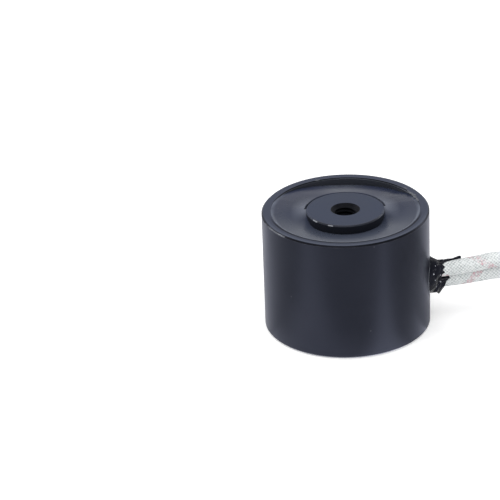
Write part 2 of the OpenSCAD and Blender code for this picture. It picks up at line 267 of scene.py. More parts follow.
def addTinnedEnd(name, line):
    # a bar of fused strands, grooved along their lay and rounded at its tip
    count = 36
    rings = []
    for i in range(count + 1):
        height = -1.2 + (tinnedEnd["length"] + 1.2) * i / count
        fromTip = tinnedEnd["length"] - height
        share = math.sqrt(max(0.02, 1 - max(0, 1 - fromTip / tinnedEnd["tip"]) ** 2))
        rings.append((tinnedEnd["radius"] * share, height))
    piece = turnedRings(name, rings, 42)
    bpy.ops.object.mode_set(mode="EDIT")
    bpy.ops.mesh.select_all(action="DESELECT")
    bpy.ops.mesh.select_non_manifold()
    bpy.ops.mesh.edge_face_add()
    bpy.ops.object.mode_set(mode="OBJECT")

    def strand(co):
        angle = math.atan2(co.y, co.x) - 2 * math.pi * co.z / mm / tinnedEnd["lay"]
        ridge = abs(math.sin(angle * tinnedEnd["strands"] / 2))
        share = 1 - tinnedEnd["groove"] / tinnedEnd["radius"] * (1 - ridge) ** 2
        wander = 0.03 * noise.noise(co * 900)
        return Vector((co.x * (share + wander), co.y * (share + wander), co.z))

    moveVertices(piece, strand)
    ahead = (line[-1] - line[-2]).normalized()
    turn = ahead.to_track_quat("Z", "Y").to_matrix().to_4x4()
    piece.matrix_world = Matrix.Translation(line[-1]) @ turn
    settle(piece)
    outwardFaces(piece)
    smoothPiece(piece, 60)
    return piece


frontEnd = addTinnedEnd("frontTinnedEnd", frontLine)
rearEnd = addTinnedEnd("rearTinnedEnd", rearLine)
print("tinned ends made")


# ---------- tie round the coil ----------

tie = {"angle": 45, "inner": 18.8, "across": 9.7, "high": 10.05, "strap": 0.9, "width": 2.5, "head": 4.2, "headHeight": 2.6}


def addTie():
    # a rounded strap loop round the four runs, with a head on top and a cut-off tail
    outer = tie["across"] / 2 + 0.2
    top = tie["high"] + tie["strap"] / 2
    deselectAll()
    bpy.ops.mesh.primitive_cube_add(size=1, location=(tie["inner"] + tie["across"] / 2 - 0.05, 0, top / 2))
    strap = bpy.context.object
    strap.name = "coilTie"
    strap.scale = (2 * outer + tie["strap"], tie["width"], top)
    bpy.ops.object.transform_apply(location=True, rotation=True, scale=True)
    bpy.ops.object.mode_set(mode="EDIT")
    bm = bmesh.from_edit_mesh(strap.data)
    bm.edges.ensure_lookup_table()
    for edge in bm.edges:
        a, b = (vertex.co for vertex in edge.verts)
        edge.select_set(abs(a.y - b.y) > 0.5 * tie["width"])
    bmesh.update_edit_mesh(strap.data)
    bpy.ops.mesh.bevel(offset=1.7, segments=8, affect="EDGES")
    bpy.ops.mesh.select_all(action="DESELECT")
    bm = bmesh.from_edit_mesh(strap.data)
    for face in bm.faces:
        face.select_set(abs(face.normal.y) > 0.9)
    bmesh.update_edit_mesh(strap.data)
    bpy.ops.mesh.inset(thickness=tie["strap"] / 2, use_individual=False)
    bpy.ops.mesh.bridge_edge_loops()
    bpy.ops.mesh.select_all(action="DESELECT")
    bm = bmesh.from_edit_mesh(strap.data)
    for edge in bm.edges:
        sharp = len(edge.link_faces) == 2 and edge.calc_face_angle(0) > 0.9
        edge.select_set(sharp)
    bmesh.update_edit_mesh(strap.data)
    bpy.ops.mesh.bevel(offset=0.12, segments=2, affect="EDGES")
    bpy.ops.object.mode_set(mode="OBJECT")
    # the head, with the tail standing out of its far side
    middle = tie["inner"] + tie["across"] / 2
    bpy.ops.mesh.primitive_cube_add(size=1, location=(middle, 0, top + tie["headHeight"] / 2 - 0.1))
    head = bpy.context.object
    head.scale = (tie["head"], tie["head"] - 0.4, tie["headHeight"])
    bpy.ops.object.transform_apply(location=True, rotation=True, scale=True)
    bpy.ops.object.mode_set(mode="EDIT")
    bpy.ops.mesh.select_all(action="SELECT")
    bpy.ops.mesh.bevel(offset=0.45, segments=4, affect="EDGES")
    bpy.ops.object.mode_set(mode="OBJECT")
    bpy.ops.mesh.primitive_cube_add(size=1, location=(middle + tie["head"] / 2 + 1.2, 0, top + 1.25))
    tail = bpy.context.object
    tail.scale = (3.6, tie["width"] - 0.3, 0.7)
    bpy.ops.object.transform_apply(location=True, rotation=True, scale=True)
    bpy.ops.object.mode_set(mode="EDIT")
    bpy.ops.mesh.select_all(action="SELECT")
    bpy.ops.mesh.bevel(offset=0.14, segments=2, affect="EDGES")
    bm = bmesh.from_edit_mesh(tail.data)
    for vertex in bm.verts:
        vertex.co.z += 0.05 * (vertex.co.x - middle) ** 1.2 - 0.1
    bmesh.update_edit_mesh(tail.data)
    bpy.ops.object.mode_set(mode="OBJECT")
    deselectAll()
    for part in (tail, head, strap):
        part.select_set(True)
    bpy.context.view_layer.objects.active = strap
    bpy.ops.object.join()
    strap.scale = (mm, mm, mm)
    strap.rotation_euler = (0, 0, math.radians(tie["angle"]))
    strap.location = (leads["coilCentre"][0] * mm, leads["coilCentre"][1] * mm, 0)
    settle(strap)
    activate(strap)
    bpy.ops.object.mode_set(mode="EDIT")
    bpy.ops.mesh.select_all(action="SELECT")
    bpy.ops.mesh.normals_make_consistent(inside=False)
    bpy.ops.object.mode_set(mode="OBJECT")
    smoothPiece(strap, 40)
    return strap


coilTie = addTie()
print("tie made")


# ---------- resin filling ----------

resin = {
    "pole": 11.705, "bore": 21.995, "bottom": 34.62, "front": 34.32, "segments": 360,
    "groove": 12.3, "collarTop": 36.78, "shoulder": 36.47, "bulge": 0.33, "chamfer": 36.7,
    # height at the rim by angle, from the lead exit round the back
    "rimHeights": [
        (-90, 36.97), (-10, 36.97), (12, 36.9), (20, 36.62), (26, 36.3), (43, 35.45), (58, 34.95), (73, 34.7),
        (91, 34.64), (108, 35.1), (120, 35.62), (130, 36.05), (143, 36.5), (156, 36.85), (165, 36.95), (270, 36.97),
    ],
}


def alongTable(table, value):
    # a smooth line through the pairs of a table
    for (x0, y0), (x1, y1) in zip(table, table[1:]):
        if value <= x1:
            return y0 + (y1 - y0) * smoothStep(x0, x1, value) if abs(y1 - y0) > 0.6 else y0 + (y1 - y0) * (value - x0) / (x1 - x0)
    return table[-1][1]


def resinTop(radius, degrees):
    # height of the cast face: it bulges up to the rim in front, and falls from a groove round the pole behind
    angle = math.radians(degrees)
    wander = noise.noise(Vector((math.cos(angle) * 1.7, math.sin(angle) * 1.7, 0.4)))
    ripple = noise.noise(Vector((math.cos(angle) * radius * 0.16, math.sin(angle) * radius * 0.16, 2.1)))
    behind = smoothStep(-38, 14, degrees + 3 * wander) * smoothStep(-38, 14, 180 - degrees + 3 * wander)
    rim = alongTable(resin["rimHeights"], degrees) + 0.04 * wander
    u = min(1, (radius - resin["pole"]) / (resin["bore"] - resin["pole"]))
    near = resin["front"] + (resin["shoulder"] - resin["front"]) * (resin["bulge"] * (1 - (1 - u) ** 2) + (1 - resin["bulge"]) * u)
    v = max(0, (radius - resin["groove"]) / (resin["bore"] - resin["groove"]))
    far = resin["collarTop"] - (resin["collarTop"] - rim) * (0.56 * v + 0.44 * v * v)
    height = near + (far - near) * behind
    high = smoothStep(36.1, 36.8, rim)
    meniscus = smoothStep(resin["bore"] - 0.65, resin["bore"], radius)
    height += (rim - height) * meniscus * high
    height += 0.035 * ripple * smoothStep(0, 2, radius - resin["groove"]) * (1 - meniscus)
    deep = smoothStep(7, 21, degrees + 2 * wander) * smoothStep(7, 21, 180 - degrees + 2 * wander)
    if radius < resin["groove"]:
        height += (resin["bottom"] - height) * deep
    elif radius < resin["groove"] + 0.15:
        height -= 0.16 * deep * (1 - (radius - resin["groove"]) / 0.15) ** 2
    return height


def addResin():
    radii = [resin["pole"], 11.85, 12, 12.12, 12.2, 12.26, 12.3, 12.33, 12.37, 12.42, 12.5, 12.62, 12.8, 13.05, 13.35, 13.7, 14.1]
    radii += [14.5 + 0.4 * k for k in range(14)] + [20, 20.3, 20.6, 20.9, 21.1, 21.25, 21.37, 21.48, 21.58, 21.68, 21.78, 21.88, 21.95, resin["bore"]]
    rings = [(radius, resin["front"]) for radius in radii]
    rings += [(21.995, 7.02), (17.5, 7.02), (17.5, 8.2), (16.82, 8.2), (16.82, 30.8), (17.5, 30.8), (17.5, 32.02), (11.705, 32.02), (11.705, resin["front"])]
    piece = turnedRings("resinFilling", rings, resin["segments"])
    topRows = len(radii)

    for index, vertex in enumerate(piece.data.vertices):
        row = index // resin["segments"]
        if row < topRows or row == len(rings) - 1:
            degrees = math.degrees(math.atan2(vertex.co.y, vertex.co.x))
            if degrees < -90:
                degrees += 360
            radius = radii[row] if row < topRows else radii[0]
            height = resinTop(radius, degrees)
            vertex.co.z = height * mm
            if row == topRows - 1 and height > resin["chamfer"]:
                # the edge creeps up the rim's inner chamfer
                share = (radius + height - resin["chamfer"]) / radius
                vertex.co.x *= share
                vertex.co.y *= share
    piece.data.update()
    outwardFaces(piece)
    smoothPiece(piece, 55)
    return piece


resinFilling = addResin()
print("resin cast")


# ---------- resin that crept over the rim ----------

residue = {
    # angle, radius, half width and half length of each bead
    "places": [(34, 22.75, 0.26, 0.8), (28, 22.25, 0.26, 1.0), (24, 22.2, 0.4, 1.1), (20.5, 22.35, 0.55, 0.8), (17, 22.15, 0.45, 0.9), (12, 22.2, 0.32, 1.2), (109.5, 22.4, 0.3, 0.8)],
}


def addResidue():
    # flat irregular beads on the rim's inner edge
    parts = []
    for angle, radius, across, along in residue["places"]:
        deselectAll()
        bpy.ops.mesh.primitive_uv_sphere_add(segments=28, ring_count=16, radius=1, location=(0, 0, 0))
        bead = bpy.context.object
        bead.scale = (across, along, 0.2)
        bpy.ops.object.transform_apply(location=True, rotation=True, scale=True)
        for vertex in bead.data.vertices:
            shift = noise.noise(vertex.co * 1.6 + Vector((angle, 0, 0)))
            vertex.co.x *= 1 + 0.5 * shift
            vertex.co.z *= 1 + 0.6 * shift
        bead.location = (radius, 0, 36.95)
        bpy.ops.object.transform_apply(location=True, rotation=False, scale=False)
        bead.rotation_euler = (0, 0, math.radians(angle))
        bpy.ops.object.transform_apply(location=False, rotation=True, scale=False)
        parts.append(bead)
    deselectAll()
    for part in parts:
        part.select_set(True)
    bpy.context.view_layer.objects.active = parts[0]
    bpy.ops.object.join()
    piece = parts[0]
    piece.name = "resinBeads"
    piece.scale = (mm, mm, mm)
    settle(piece)
    smoothPiece(piece, 70)
    return piece


resinBeads = addResidue()
print("resin beads made")


# ---------- thread in the pole ----------

thread = {"root": 3.385, "crest": 3.08, "pitch": 1.25, "bottom": 23.2, "top": 36.96, "sink": 36, "segments": 72, "perTurn": 12}


def addThread():
    # a sleeve whose inside follows the thread, one tooth a turn
    count = round((thread["top"] - thread["bottom"]) / thread["pitch"] * thread["perTurn"])
    rings = [(thread["root"], thread["bottom"] + (thread["top"] - thread["bottom"]) * k / count) for k in range(count + 1)]
    piece = turnedRings("poleThread", rings, thread["segments"])

    def tooth(co):
        angle = math.atan2(co.y, co.x)
        turn = (co.z / mm / thread["pitch"] - angle / (2 * math.pi)) % 1
        rise = max(0, 1 - abs(turn - 0.5) / 0.42)
        rise = min(1, rise * 1.18)
        height = co.z / mm
        fade = smoothStep(0, 0.95, thread["top"] - height)
        radius = thread["root"] + max(0, height - thread["sink"]) - (thread["root"] - thread["crest"]) * rise * fade
        share = radius / thread["root"]
        return Vector((co.x * share, co.y * share, co.z))

    moveVertices(piece, tooth)
    activate(piece)
    bpy.ops.object.mode_set(mode="EDIT")
    bpy.ops.mesh.select_all(action="SELECT")
    bpy.ops.mesh.normals_make_consistent(inside=True)
    bpy.ops.object.mode_set(mode="OBJECT")
    smoothPiece(piece, 40)
    return piece


poleThread = addThread()
print("thread cut")


# ---------- sealant at the lead exit ----------

sealant = {
    "hole": 5.68, "holeHeight": 14.1, "pairHeight": 13.7, "slope": 0.2,
    "offset": (-0.9, 2.2), "lead": 2.35, "waist": 1.9, "sides": 180, "rows": 54,
    # how far the sealant reaches along the leads, by angle round the pair; 90 is the top and 180 faces the viewer
    "ends": [
        (0, 4), (40, 4.2), (66, 4.5), (78, 5.6), (85, 9.3), (93, 9.7), (97, 7.6), (101, 6), (105, 4.7),
        (111, 3.9), (117, 3.25), (120, 3.3), (125, 3.75), (129, 3.85), (132.5, 3.3), (137, 3.1), (142, 3.35), (147, 3.75),
        (150, 3.6), (153, 3), (160, 2.75), (168, 2.7), (176, 3), (184, 3.4), (189, 5.4), (194, 5.65), (204, 5.45),
        (214, 5.2), (224, 4.95), (234, 4.6), (243, 4.35), (254, 4.1), (264, 3.9), (275, 3.5), (288, 3.2), (310, 3.6), (360, 4),
    ],
    # place along, angle, height, size along and size in degrees of each lump
    "lumps": [
        (2.6, 243, 0.42, 0.75, 11), (1.0, 136, 0.3, 0.55, 9), (0.9, 168, 0.34, 0.5, 8), (2.7, 166, 0.26, 0.55, 8),
        (1.5, 112, 0.28, 0.6, 8), (2.6, 196, 0.3, 0.8, 9), (3.4, 222, 0.25, 0.7, 8), (1.3, 222, 0.28, 0.6, 10),
        (2.2, 138, -0.22, 0.5, 7), (1.8, 182, -0.3, 0.6, 8), (1.9, 152, 0.18, 0.4, 6), (3.2, 122, 0.16, 0.5, 6),
    ],
    "drop": {"along": 2.3, "spread": 1.25, "angle": 266, "width": 17, "hang": 2.1},
}


def pairOutline(angle):
    # distance from the middle of the pair to the outside of the two leads
    reach = 0
    for sign in (1, -1):
        a, b = sealant["offset"][0] * sign, sealant["offset"][1] * sign
        along = a * math.cos(angle) + b * math.sin(angle)
        aside = a * math.sin(angle) - b * math.cos(angle)
        under = sealant["lead"] ** 2 - aside * aside
        if under > 0 and along + math.sqrt(under) > reach:
            reach = along + math.sqrt(under)
    across = abs(math.sin(angle - math.atan2(sealant["offset"][1], sealant["offset"][0])))
    return max(reach, min(sealant["waist"] / max(across, 0.05), 2.6))


def angleGap(a, b):
    return abs((a - b + 180) % 360 - 180)


def sealantFilm(x, end, degrees):
    # thickness over the leads: thick at the wall, thin and blunt where it ends
    film = 0.3 + 0.5 * smoothStep(3.6, 0.6, x)
    tongue = smoothStep(16, 5, angleGap(degrees, 90))
    film += tongue * (0.3 * smoothStep(0.5, 2, x) - 0.1 * smoothStep(4, 6, x) + 0.5 * smoothStep(7.6, 9, x))
    return film


def addSealant():
    sides, rows = sealant["sides"], sealant["rows"]
    outline = [pairOutline(2 * math.pi * k / sides) for k in range(sides)]
    for _ in range(3):
        outline = [(outline[k - 1] + 2 * outline[k] + outline[(k + 1) % sides]) / 4 for k in range(sides)]
    piece = turnedRings("leadSealant", [(5, row) for row in range(rows)], sides)
    slope = math.atan(sealant["slope"])
    drop = sealant["drop"]
    start = -1.9
    for index, vertex in enumerate(piece.data.vertices):
        row, k = divmod(index, sides)
        angle = 2 * math.pi * k / sides
        degrees = math.degrees(angle)
        end = alongTable(sealant["ends"], degrees)
        s = min(1, row / (rows - 5))
        x = start + (end - start) * s
        mound = smoothStep(2.6, 0.05, x)
        below = smoothStep(48, 18, angleGap(degrees, 264))
        mound = max(mound, below * smoothStep(3.2, 1.3, x))
        reach = outline[k] + sealantFilm(x, end, degrees)
        hang = smoothStep(drop["width"] * 1.5, 2, angleGap(degrees, drop["angle"]))
        reach += drop["hang"] * hang * math.exp(-((x - drop["along"]) / drop["spread"]) ** 2)
        for place, middle, height, size, width in sealant["lumps"]:
            reach += height * math.exp(-((x - place) / size) ** 2 - (angleGap(degrees, middle) / width) ** 2)
        rough = noise.noise(Vector((x * 1.1, math.cos(angle) * 3.5, math.sin(angle) * 3.5)))
        fine = noise.noise(Vector((x * 2.6, math.cos(angle) * 8, math.sin(angle) * 8)))
        reach += (0.14 * rough + 0.06 * fine) * smoothStep(0, 0.8, x) * smoothStep(1.0, 0.9, s)
        past = row - (rows - 5)  # the last four rows turn in over a rounded lip
        if past > 0:
            lip = (0, 0.1, 0.24, 0.4, 1.0)[past]
            reach = reach + (outline[k] - 0.3 - reach) * lip
            x += (0, 0.07, 0.11, 0.12, 0.1)[past]
        a = reach * math.cos(angle)
        b = sealant["pairHeight"] + reach * math.sin(angle)
        # inside the hole the outline is the hole itself
        holeA = sealant["hole"] * math.cos(angle)
        holeB = sealant["holeHeight"] + sealant["hole"] * math.sin(angle)
        a = a + (holeA - a) * mound
        b = b + (holeB - b) * mound
        bow = 0 if x > 1.2 else (25 - math.sqrt(625 - min(a * a, 33))) * smoothStep(1.2, 0, x)
        vertex.co = Vector((
            (25 + x * math.cos(slope) - a * math.sin(slope) * smoothStep(0, 2, x) - bow) * mm,
            (x * math.sin(slope) * smoothStep(-2, 1, x) + a * math.cos(slope)) * mm,
            b * mm,
        ))
    piece.data.update()
    bpy.context.view_layer.objects.active = piece
    bpy.ops.object.mode_set(mode="EDIT")
    bpy.ops.mesh.select_all(action="DESELECT")
    bpy.ops.mesh.select_non_manifold()
    bpy.ops.mesh.edge_face_add()
    bpy.ops.object.mode_set(mode="OBJECT")
    outwardFaces(piece)
    smoothPiece(piece, 70)
    return piece


leadSealant = addSealant()
print("sealant made")


# ---------- shared effects for materials ----------

def mathNode(tree, operation, first, second=None, third=None, clamp=False):
    made = tree.nodes.new("ShaderNodeMath")
    made.operation = operation
    made.use_clamp = clamp
    for socket, value in zip(made.inputs, (first, second, third)):
        if value is None:
            continue
        if isinstance(value, bpy.types.NodeSocket):
            tree.links.new(value, socket)
        else:
            socket.default_value = value
    return made.outputs[0]


def mixColour(tree, share, first, second, blend="MIX"):
    made = tree.nodes.new("ShaderNodeMix")
    made.data_type = "RGBA"
    made.blend_type = blend
    for socket, value in ((made.inputs[0], share), (made.inputs[6], first), (made.inputs[7], second)):
        if isinstance(value, bpy.types.NodeSocket):
            tree.links.new(value, socket)
        elif socket.type == "RGBA":
            socket.default_value = (*value, 1)
        else:
            socket.default_value = value
    return made.outputs[2]


def noiseNode(tree, vector, scale, detail=3.0, roughness=0.5):
    made = tree.nodes.new("ShaderNodeTexNoise")
    made.inputs["Scale"].default_value = scale
    made.inputs["Detail"].default_value = detail
    made.inputs["Roughness"].default_value = roughness
    tree.links.new(vector, made.inputs["Vector"])
    return made.outputs["Fac"]


def spread(tree, value, fromLow, fromHigh, toLow, toHigh):
    made = tree.nodes.new("ShaderNodeMapRange")
    tree.links.new(value, made.inputs["Value"])
    for name, number in (("From Min", fromLow), ("From Max", fromHigh), ("To Min", toLow), ("To Max", toHigh)):
        made.inputs[name].default_value = number
    return made.outputs[0]


def newGroup(name, inputs, outputs):
    tree = bpy.data.node_groups.new(name, "ShaderNodeTree")
    for label, kind, value in inputs:
        socket = tree.interface.new_socket(name=label, in_out="INPUT", socket_type=kind)
        if value is not None:
            socket.default_value = value
    for label, kind in outputs:
        tree.interface.new_socket(name=label, in_out="OUTPUT", socket_type=kind)
    return tree, tree.nodes.new("NodeGroupInput"), tree.nodes.new("NodeGroupOutput")


def buildGrainGroup():
    # cloudy tone, fine tooth and a few specks, for cast, painted and moulded faces
    tree, source, result = newGroup(
        "surfaceGrain",
        [("Vector", "NodeSocketVector", None), ("Cloud Scale", "NodeSocketFloat", 90.0), ("Tooth Scale", "NodeSocketFloat", 1400.0), ("Speck Share", "NodeSocketFloat", 0.1)],
        [("Cloud", "NodeSocketFloat"), ("Tooth", "NodeSocketFloat"), ("Specks", "NodeSocketFloat")],
    )
    for label, scaleName, detail in (("Cloud", "Cloud Scale", 4), ("Tooth", "Tooth Scale", 2)):
        made = tree.nodes.new("ShaderNodeTexNoise")
        made.inputs["Detail"].default_value = detail
        tree.links.new(source.outputs["Vector"], made.inputs["Vector"])
        tree.links.new(source.outputs[scaleName], made.inputs["Scale"])
        tree.links.new(made.outputs["Fac"], result.inputs[label])
    cells = tree.nodes.new("ShaderNodeTexVoronoi")
    cells.inputs["Scale"].default_value = 700
    tree.links.new(source.outputs["Vector"], cells.inputs["Vector"])
    near = mathNode(tree, "LESS_THAN", cells.outputs["Distance"], 0.16)
    pick = tree.nodes.new("ShaderNodeSeparateColor")
    tree.links.new(cells.outputs["Color"], pick.inputs[0])
    chosen = mathNode(tree, "LESS_THAN", pick.outputs[0], source.outputs["Speck Share"])
    tree.links.new(mathNode(tree, "MULTIPLY", near, chosen), result.inputs["Specks"])
    return tree


def buildBraidGroup():
    # two sets of yarns crossing over and under, with the fibres in each and one coloured yarn
    tree, source, result = newGroup(
        "leadBraid",
        [("Map", "NodeSocketVector", None), ("Carriers", "NodeSocketFloat", 12.0), ("Pitch", "NodeSocketFloat", 1.2), ("Tracer", "NodeSocketFloat", 3.0)],
        [("Height", "NodeSocketFloat"), ("Fibres", "NodeSocketFloat"), ("Tracer Mask", "NodeSocketFloat"), ("Gaps", "NodeSocketFloat")],
    )
    split = tree.nodes.new("ShaderNodeSeparateXYZ")
    tree.links.new(source.outputs["Map"], split.inputs[0])
    around = mathNode(tree, "MULTIPLY", split.outputs["X"], source.outputs["Carriers"])
    along = mathNode(tree, "DIVIDE", split.outputs["Y"], source.outputs["Pitch"])
    left = mathNode(tree, "ADD", around, along)
    right = mathNode(tree, "SUBTRACT", around, along)
    rounds = []
    for value in (left, right):
        fraction = mathNode(tree, "FRACT", mathNode(tree, "ADD", value, 1000))
        rounds.append(mathNode(tree, "SINE", mathNode(tree, "MULTIPLY", fraction, math.pi)))
    cell = mathNode(tree, "ADD", mathNode(tree, "FLOOR", left), mathNode(tree, "FLOOR", right))
    over = mathNode(tree, "LESS_THAN", mathNode(tree, "FLOORED_MODULO", cell, 2), 0.5)
    under = mathNode(tree, "SUBTRACT", 1, over)
    crowns = []
    for own, other in ((rounds[0], rounds[1]), (rounds[1], rounds[0])):
        bulge = mathNode(tree, "MULTIPLY_ADD", other, 0.45, 0.55)
        crowns.append(mathNode(tree, "MULTIPLY", mathNode(tree, "POWER", own, 0.6), bulge))
    height = mathNode(tree, "ADD", mathNode(tree, "MULTIPLY", over, crowns[0]), mathNode(tree, "MULTIPLY", under, crowns[1]))
    tree.links.new(height, result.inputs["Height"])
    fibreLines = []
    for value, mask in ((left, over), (right, under)):
        line = mathNode(tree, "SINE", mathNode(tree, "MULTIPLY", value, 2 * math.pi * 5))
        fibreLines.append(mathNode(tree, "MULTIPLY", line, mask))
    tree.links.new(mathNode(tree, "ADD", fibreLines[0], fibreLines[1]), result.inputs["Fibres"])
    yarn = mathNode(tree, "FLOORED_MODULO", mathNode(tree, "FLOOR", left), source.outputs["Carriers"])
    chosen = mathNode(tree, "COMPARE", yarn, source.outputs["Tracer"], 1.1)
    shown = mathNode(tree, "MULTIPLY_ADD", over, 0.6, 0.4)
    tree.links.new(mathNode(tree, "MULTIPLY", chosen, shown), result.inputs["Tracer Mask"])
    tree.links.new(mathNode(tree, "SUBTRACT", 1, mathNode(tree, "POWER", height, 0.5), clamp=True), result.inputs["Gaps"])
    return tree


surfaceGrain = buildGrainGroup()
leadBraid = buildBraidGroup()


def newMaterial(name):
    material = bpy.data.materials.new(name)
    material.use_nodes = True
    tree = material.node_tree
    shader = tree.nodes["Principled BSDF"]
    place = tree.nodes.new("ShaderNodeTexCoord")
    return material, tree, shader, place.outputs["Object"]


def useGroup(tree, group, links, **values):
    made = tree.nodes.new("ShaderNodeGroup")
    made.node_tree = group
    for label, value in links.items():
        tree.links.new(value, made.inputs[label])
    for label, value in values.items():
        made.inputs[label.replace("_", " ")].default_value = value
    return made


def addBump(tree, shader, height, strength, distance):
    made = tree.nodes.new("ShaderNodeBump")
    made.inputs["Strength"].default_value = strength
    made.inputs["Distance"].default_value = distance
    tree.links.new(height, made.inputs["Height"])
    previous = shader.inputs["Normal"].links
    if previous:
        tree.links.new(previous[0].from_socket, made.inputs["Normal"])
    tree.links.new(made.outputs[0], shader.inputs["Normal"])


coat = {
    "dark": (0.0125, 0.014, 0.0212), "light": (0.0148, 0.0164, 0.0242), "metal": 0.75, "worn": (0.06, 0.062, 0.072), "rough": 0.36, "gloss": 0.2,
    "faceDark": (0.012, 0.019, 0.042), "faceLight": (0.016, 0.024, 0.05), "faceRough": 0.44,
    "tint": (0.78, 0.8, 0.9), "bareAndHighlight": (0.42, 0.44, 0.48),
}


def grainMaterial(name, dark, light, rough, roughSpread=0.06, cloud=90.0, tooth=1400.0, specks=0.08, metallic=0.0, bump=0.12, speckColour=None, clearCoat=0.0, gloss=0.5):
    material, tree, shader, place = newMaterial(name)
    grain = useGroup(tree, surfaceGrain, {"Vector": place}, Cloud_Scale=cloud, Tooth_Scale=tooth, Speck_Share=specks)
    tone = spread(tree, grain.outputs["Cloud"], 0.35, 0.65, 0, 1)
    colour = mixColour(tree, tone, dark, light)
    if speckColour:
        colour = mixColour(tree, mathNode(tree, "MULTIPLY", grain.outputs["Specks"], 0.5), colour, speckColour)
    tree.links.new(colour, shader.inputs["Base Color"])
    tree.links.new(spread(tree, grain.outputs["Cloud"], 0.3, 0.7, rough - roughSpread, rough + roughSpread), shader.inputs["Roughness"])
    shader.inputs["Metallic"].default_value = metallic
    shader.inputs["Coat Weight"].default_value = clearCoat
    shader.inputs["Specular IOR Level"].default_value = gloss
    shader.inputs["Specular Tint"].default_value = (*coat["tint"], 1) if metallic < 0.8 else (1, 1, 1, 1)
    shader.inputs["Coat Roughness"].default_value = 0.15
    addBump(tree, shader, grain.outputs["Tooth"], bump, 0.00004)
    return material, tree, shader, place, grain


# ---------- coats and finishes ----------

def axisDistance(tree, place):
    # distance from the axis, and the height
    split = tree.nodes.new("ShaderNodeSeparateXYZ")
    tree.links.new(place, split.inputs[0])
    square = mathNode(tree, "ADD", mathNode(tree, "POWER", split.outputs["X"], 2), mathNode(tree, "POWER", split.outputs["Y"], 2))
    return mathNode(tree, "SQRT", square), split.outputs["Z"]


def turnedCoat(name, dark, light, rough, edges, bump, gloss, wear=0.55, metallic=0.0):
    # satin black coat with the edges of the turned piece rubbed a little paler
    material, tree, shader, place, grain = grainMaterial(name, dark, light, rough, 0.04, 60.0, 1100.0, 0.012, metallic, bump, coat["worn"], 0.0, gloss)
    radius, height = axisDistance(tree, place)
    rubbed = None
    for edgeRadius, edgeHeight, width in edges:
        offR = mathNode(tree, "POWER", mathNode(tree, "SUBTRACT", radius, edgeRadius * mm), 2)
        offZ = mathNode(tree, "POWER", mathNode(tree, "SUBTRACT", height, edgeHeight * mm), 2)
        away = mathNode(tree, "SQRT", mathNode(tree, "ADD", offR, offZ))
        near = spread(tree, away, 0.0, width * mm, 1, 0)
        rubbed = near if rubbed is None else mathNode(tree, "MAXIMUM", rubbed, near)
    patchy = spread(tree, noiseNode(tree, place, 420, 4, 0.6), 0.42, 0.62, 0.15, 1)
    share = mathNode(tree, "MULTIPLY", mathNode(tree, "MULTIPLY", rubbed, patchy), wear)
    base = shader.inputs["Base Color"].links[0].from_socket
    tree.links.new(mixColour(tree, share, base, coat["worn"]), shader.inputs["Base Color"])
    return material, tree, shader, place


def layer(tree, shader, share, colour, rough=None):
    # another colour, and roughness, over the base where the share is 1
    base = shader.inputs["Base Color"].links[0].from_socket
    tree.links.new(mixColour(tree, share, base, colour), shader.inputs["Base Color"])
    if rough is not None:
        before = shader.inputs["Roughness"].links[0].from_socket
        change = mathNode(tree, "MULTIPLY", share, mathNode(tree, "SUBTRACT", rough, before))
        tree.links.new(mathNode(tree, "ADD", before, change), shader.inputs["Roughness"])


def spotShare(tree, place, spots):
    # 1 at the middle of each spot; a spot is angle, radius, height and half width
    total = None
    for degrees, radius, height, width in spots:
        angle = math.radians(degrees)
        away = tree.nodes.new("ShaderNodeVectorMath")
        away.operation = "DISTANCE"
        tree.links.new(place, away.inputs[0])
        away.inputs[1].default_value = (radius * math.cos(angle) * mm, radius * math.sin(angle) * mm, height * mm)
        near = spread(tree, away.outputs["Value"], width * 0.55 * mm, width * mm, 1, 0)
        total = near if total is None else mathNode(tree, "MAXIMUM", total, near)
    return total


